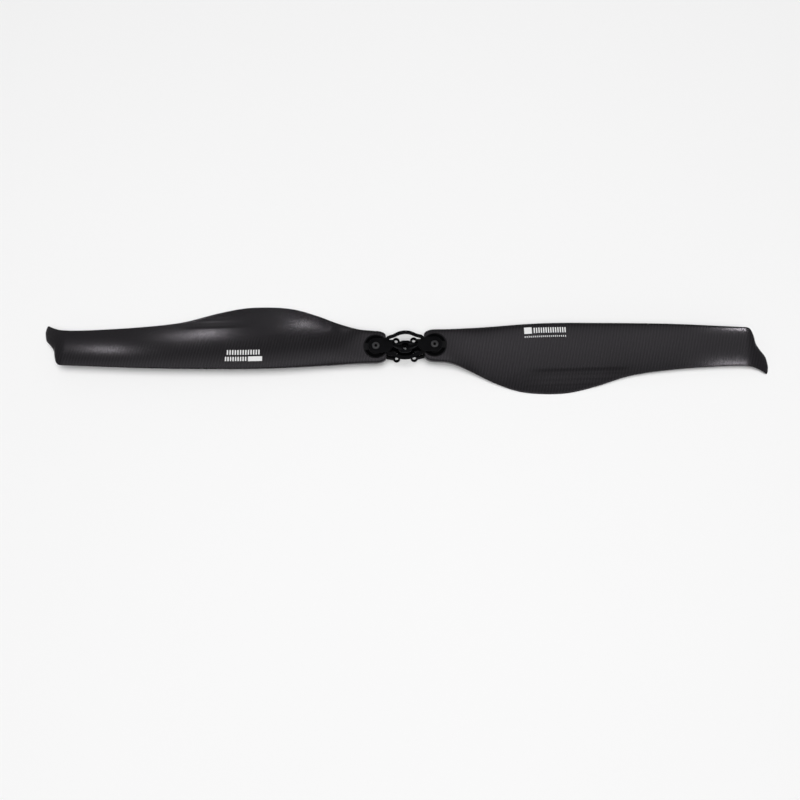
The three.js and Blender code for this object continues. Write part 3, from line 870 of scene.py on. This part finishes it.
def pivot_bolt(side):
    """Low-head socket bolt: rounded head edge, hexagon socket, threaded lower end."""
    low, top = BOLT_BOX
    seat = top - HEAD_HEIGHT
    sides = 48
    shaft = [(BOLT_RADIUS - 0.45, low), (BOLT_RADIUS - 0.3, low + 0.15)]
    threads = [(None, z) for z in np.arange(low + 0.2, THREAD_END, THREAD_PITCH / 8)]
    head = [
        (BOLT_RADIUS, THREAD_END + 0.3), (BOLT_RADIUS, seat - 0.02), (HEAD_RADIUS - 0.08, seat),
        (HEAD_RADIUS, seat + 0.08), (HEAD_RADIUS, top - 0.45), (HEAD_RADIUS - 0.06, top - 0.25),
        (HEAD_RADIUS - 0.22, top - 0.08), (HEAD_RADIUS - 0.45, top), (0.05, top),
    ]
    rings = []
    for r, z in shaft + threads + head:
        ring = []
        for k in range(sides):
            a = 2 * math.pi * k / sides
            phase = (z / THREAD_PITCH - k / sides) % 1
            radius = r if r is not None else BOLT_RADIUS - THREAD_DEPTH * abs(2 * phase - 1)
            ring.append((radius * math.cos(a), radius * math.sin(a), z))
        rings.append(ring)
    bolt = mesh_object(f"bolt_{side}", *rings_mesh(rings))
    smooth(bolt, 40)
    corner = SOCKET_ACROSS / 2 / math.cos(math.pi / 6)
    socket = post(0, 0, corner, top - SOCKET_DEPTH, top - 0.1, 6)
    angles = [2 * math.pi * k / 36 for k in range(36)]
    mouth = mesh_object("mouth", *rings_mesh([
        [(r * math.cos(a), r * math.sin(a), z) for a in angles]
        for r, z in ((corner - 0.1, top - 0.12), (corner + 0.06, top + 0.03), (corner + 0.06, top + 1))
    ]))
    boolean(bolt, "DIFFERENCE", [socket])
    boolean(bolt, "DIFFERENCE", [mouth])
    finish_piece(bolt, "hub", [f"pivot_bolt_{side}"], STEEL, at_pivot(side))


NUT_ACROSS = 7
NUT_CHAMFER = 3.4  # radius where the chamfer of the corners starts
COLLAR_RADIUS = 3.3
COLLAR_HEIGHT = 0.8


def pivot_nut(side):
    """Hexagon lock nut with chamfered corners, a round collar and a nylon ring in it."""
    low, high = NUT_BOX
    corner = NUT_ACROSS / 2 / math.cos(math.pi / 6)
    bore = BOLT_RADIUS + FIT_GAP
    shoulder = low + COLLAR_HEIGHT
    hexagon = post(0, 0, corner, shoulder - 0.1, high, 6)
    profile = [
        (bore, shoulder), (NUT_CHAMFER, shoulder), (corner, shoulder + 0.45), (corner, high - 0.35),
        (NUT_CHAMFER + 0.05, high), (bore + 0.25, high), (bore, high - 0.25),
    ]
    turned_blank = turned("blank", profile)
    smooth(turned_blank)
    boolean(hexagon, "INTERSECT", [turned_blank])
    wide, inside = COLLAR_RADIUS, bore + 0.5
    collar = turned("collar", [
        (inside, low + 0.05), (wide - 0.4, low), (wide - 0.1, low + 0.12), (wide, low + 0.35),
        (wide, shoulder + 0.2), (inside, shoulder + 0.2),
    ])
    smooth(collar)
    boolean(hexagon, "UNION", [collar])
    hexagon.name = f"nut_{side}"
    finish_piece(hexagon, "hub", [f"pivot_nut_{side}"], STEEL, at_pivot(side))
    near, far, ring_top = bore - 0.1, bore + 0.46, low + 0.75
    ring = turned(f"nut_ring_{side}", [
        (near, low + 0.2), (far, low + 0.14), (far, ring_top), (near, ring_top),
    ])
    finish_piece(ring, "hub", [], NYLON, at_pivot(side))


# ---- the object ------------------------------------------------------------------------------------
hub_milled()
for side in SIDES:
    blade_shell(side)
    blade_print(side)
    blade_bush(side)
    pivot_bolt(side)
    pivot_nut(side)
    spring_washer(side)
    for up in (1, -1):
        root_cap(side, up)
        thrust_washer(side, up)


# ---- stage, light and camera -----------------------------------------------------------------------
def floor_material():
    """Pale matt floor."""
    shader = Shader("pale_floor", roughness=0.9, specular_ior_level=0.2)
    shader.set(base_color=shader.blend(shader.noise(400), (0.93, 0.93, 0.93), (0.95, 0.95, 0.95)))
    return shader.material


FLOOR_RADIUS = 30  # metres
FLOOR_SIDES = 96
floor_angles = [2 * math.pi * k / FLOOR_SIDES for k in range(FLOOR_SIDES)]
floor_rim = [(FLOOR_RADIUS * math.cos(a), FLOOR_RADIUS * math.sin(a), 0) for a in floor_angles]
floor_mesh = bpy.data.meshes.new("floor")
floor_mesh.from_pydata(floor_rim, [], [tuple(range(FLOOR_SIDES))])
floor = link_object("floor", floor_mesh)
floor.data.materials.append(floor_material())


def soft_light(name, place, aim, size, power, glossy, spread=180):
    """A round lamp that is seen either in gloss only or not in gloss at all."""
    lamp = bpy.data.lights.new(name, "AREA")
    lamp.shape = "DISK"
    lamp.size = size
    lamp.energy = power
    lamp.spread = math.radians(spread)
    holder = bpy.data.objects.new(name, lamp)
    bpy.context.scene.collection.objects.link(holder)
    holder.location = place
    holder.rotation_euler = (Vector(aim) - Vector(place)).to_track_quat("-Z", "Y").to_euler()
    holder.visible_glossy = glossy
    holder.visible_diffuse = not glossy


soft_light("overhead", (0, -0.3, 2.6), (0, 0, 0), 2.2, 59, False)

GLINT_SIZE = 0.02
# Small lamps seen in the satin blades only: x, y, z, the x they aim at, power, and width of the beam.
GLINTS = (
    (-0.376, 0.252, 0.296, -0.26, 0.055, 180),
    (-0.2595, 0.327, 0.245, -0.17, 0.06, 180),
    (-0.107, 0.364, 0.213, -0.205, 0.0085, 40),
    (0.371, 0.072, 0.182, 0.28, 0.066, 180),
    (0.347, -0.105, 0.164, 0.27, 0.032, 180),
)
for number, (x, y, z, aim_x, power, spread) in enumerate(GLINTS):
    soft_light(f"glint_{number}", (x, y, z), (aim_x, 0, 0), GLINT_SIZE, power, True, spread)

# Brightness of the sky against the height of the direction, from the horizon to straight up.
SKY = ((0.0, 0.3), (0.5, 0.14), (0.82, 0.14), (0.88, 0.42), (0.96, 0.62), (1.0, 0.74))
world = bpy.data.worlds.new("studio")
bpy.context.scene.world = world
world.use_nodes = True
sky = world.node_tree
around = sky.nodes.new("ShaderNodeTexCoord")
rise = sky.nodes.new("ShaderNodeSeparateXYZ")
ramp = sky.nodes.new("ShaderNodeValToRGB")
while len(ramp.color_ramp.elements) < len(SKY):
    ramp.color_ramp.elements.new(0.5)
for stop, (height, level) in zip(ramp.color_ramp.elements, SKY):
    stop.position = height
    stop.color = (level, level, level, 1)
sky.links.new(around.outputs["Generated"], rise.inputs["Vector"])
sky.links.new(rise.outputs["Z"], ramp.inputs["Fac"])
sky.links.new(ramp.outputs["Color"], sky.nodes["Background"].inputs["Color"])

CAMERA_TILT = math.radians(13.7)
CAMERA_ROLL = math.radians(-1.69)
camera = bpy.data.objects.new("camera", bpy.data.cameras.new("camera"))
bpy.context.scene.collection.objects.link(camera)
camera.data.sensor_width = 36
camera.data.lens = 40.75
camera.location = (-0.0110, -0.2244, 0.7426)
camera.rotation_euler = (CAMERA_TILT, 0, CAMERA_ROLL)
bpy.context.scene.camera = camera
bpy.context.scene.view_settings.view_transform = "Standard"
